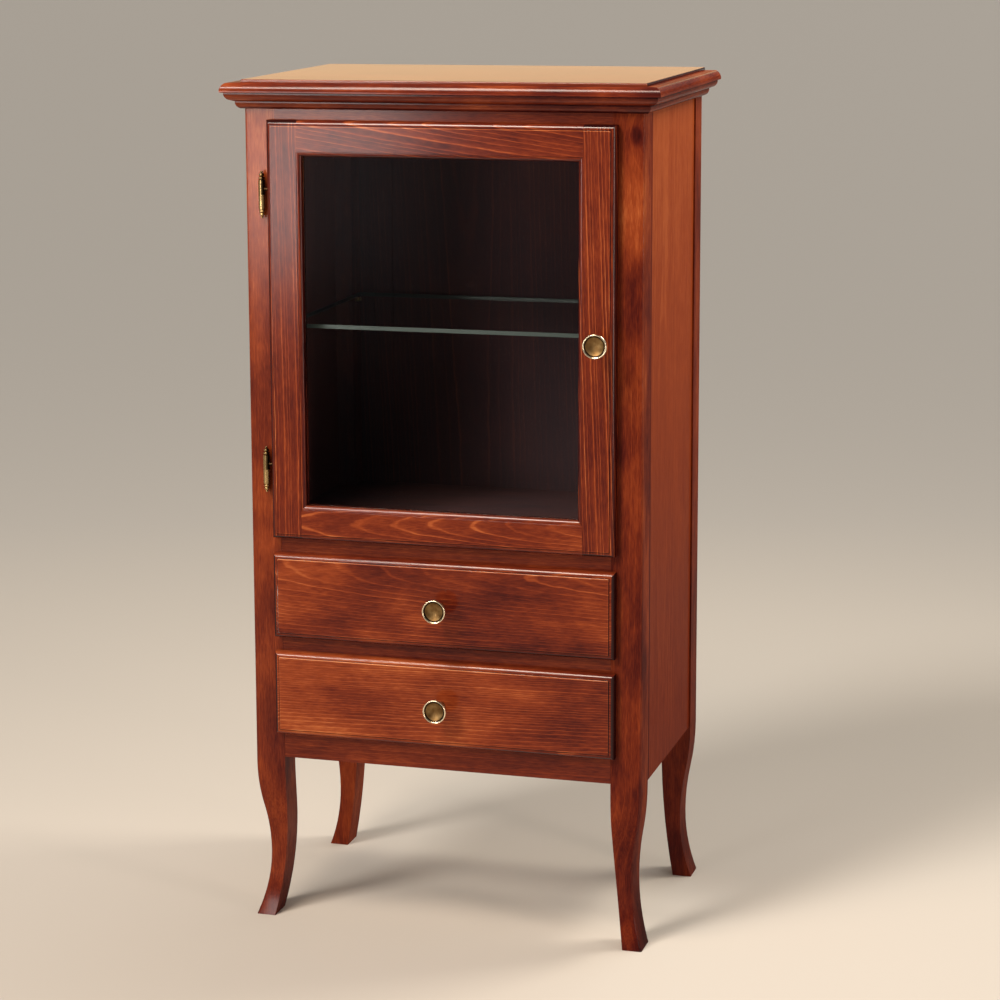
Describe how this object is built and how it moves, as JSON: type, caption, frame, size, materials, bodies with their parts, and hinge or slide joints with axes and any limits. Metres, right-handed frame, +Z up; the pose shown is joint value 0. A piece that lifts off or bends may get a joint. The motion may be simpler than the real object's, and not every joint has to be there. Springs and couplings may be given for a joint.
{
  "type": "glazed cupboard",
  "caption": "Small wooden linen cupboard on shaped legs with a glazed hinged door over drawers, brass knobs and a glass shelf inside.",
  "frame": {"origin": "on the floor, under the middle of the box round the whole cupboard", "axes": "+X to the viewer's right, +Y to the back, +Z up; the door and the drawer fronts face -Y"},
  "size_m": [0.6582, 0.4493, 1.28],
  "materials": {
    "stained_wood": "red-brown stain under satin lacquer",
    "inner_wood": "plain sanded and lightly sealed",
    "back_board": "stained plywood, matt",
    "glass": "clear float glass",
    "brass": "antiqued, with bright high edges",
    "steel": "zinc-plated",
    "catch_plastic": "dark brown moulding"
  },
  "bodies": {
    "carcass": {"front_left_leg": "stained_wood", "front_right_leg": "stained_wood", "rear_left_leg": "stained_wood", "rear_right_leg": "stained_wood", "left_side_panel": "stained_wood", "right_side_panel": "stained_wood", "back_panel": "back_board", "top_panel": "stained_wood", "cornice_front": "stained_wood", "cornice_left": "stained_wood", "cornice_right": "stained_wood", "cupboard_floor": "stained_wood", "left_floor_bearer": "inner_wood", "right_floor_bearer": "inner_wood", "frieze_rail": "stained_wood", "middle_rail": "stained_wood", "drawer_rail": "stained_wood", "bottom_rail": "stained_wood", "rear_top_rail": "stained_wood", "rear_middle_rail": "stained_wood", "rear_bottom_rail": "stained_wood", "left_upper_runner": "inner_wood", "right_upper_runner": "inner_wood", "left_lower_runner": "inner_wood", "right_lower_runner": "inner_wood", "top_dowels": "inner_wood", "glass_shelf": "glass", "shelf_pins": "brass", "drawer_stops": "inner_wood", "door_catch": "catch_plastic", "upper_hinge_frame_knuckle": "brass", "lower_hinge_frame_knuckle": "brass", "hinge_pins": "brass", "runner_screws": "steel", "small_screws": "steel"},
    "door": {"door_hinge_stile": "stained_wood", "door_knob_stile": "stained_wood", "door_top_rail": "stained_wood", "door_bottom_rail": "stained_wood", "door_glass": "glass", "glazing_beads": "stained_wood", "door_strike_plate": "steel", "upper_hinge_door_knuckle": "brass", "lower_hinge_door_knuckle": "brass", "door_knob": "brass", "door_knob_screw": "steel"},
    "upper_drawer": {"upper_drawer_front": "stained_wood", "upper_drawer_left_side": "inner_wood", "upper_drawer_right_side": "inner_wood", "upper_drawer_back": "inner_wood", "upper_drawer_bottom": "inner_wood", "upper_drawer_knob": "brass", "upper_drawer_knob_screw": "steel"},
    "lower_drawer": {"lower_drawer_front": "stained_wood", "lower_drawer_left_side": "inner_wood", "lower_drawer_right_side": "inner_wood", "lower_drawer_back": "inner_wood", "lower_drawer_bottom": "inner_wood", "lower_drawer_knob": "brass", "lower_drawer_knob_screw": "steel"}
  },
  "joints": [
    {"name": "door_hinge", "type": "hinge", "parent": "carcass", "child": "door", "pos_m": [-0.2725, -0.17795, 0.9065], "axis": [0, 0, -1], "range_deg": [0, 165]},
    {"name": "upper_drawer_slide", "type": "slide", "parent": "carcass", "child": "upper_drawer", "axis": [0, -1, 0], "range_m": [0, 0.2757]},
    {"name": "lower_drawer_slide", "type": "slide", "parent": "carcass", "child": "lower_drawer", "axis": [0, -1, 0], "range_m": [0, 0.2757]}
  ]
}
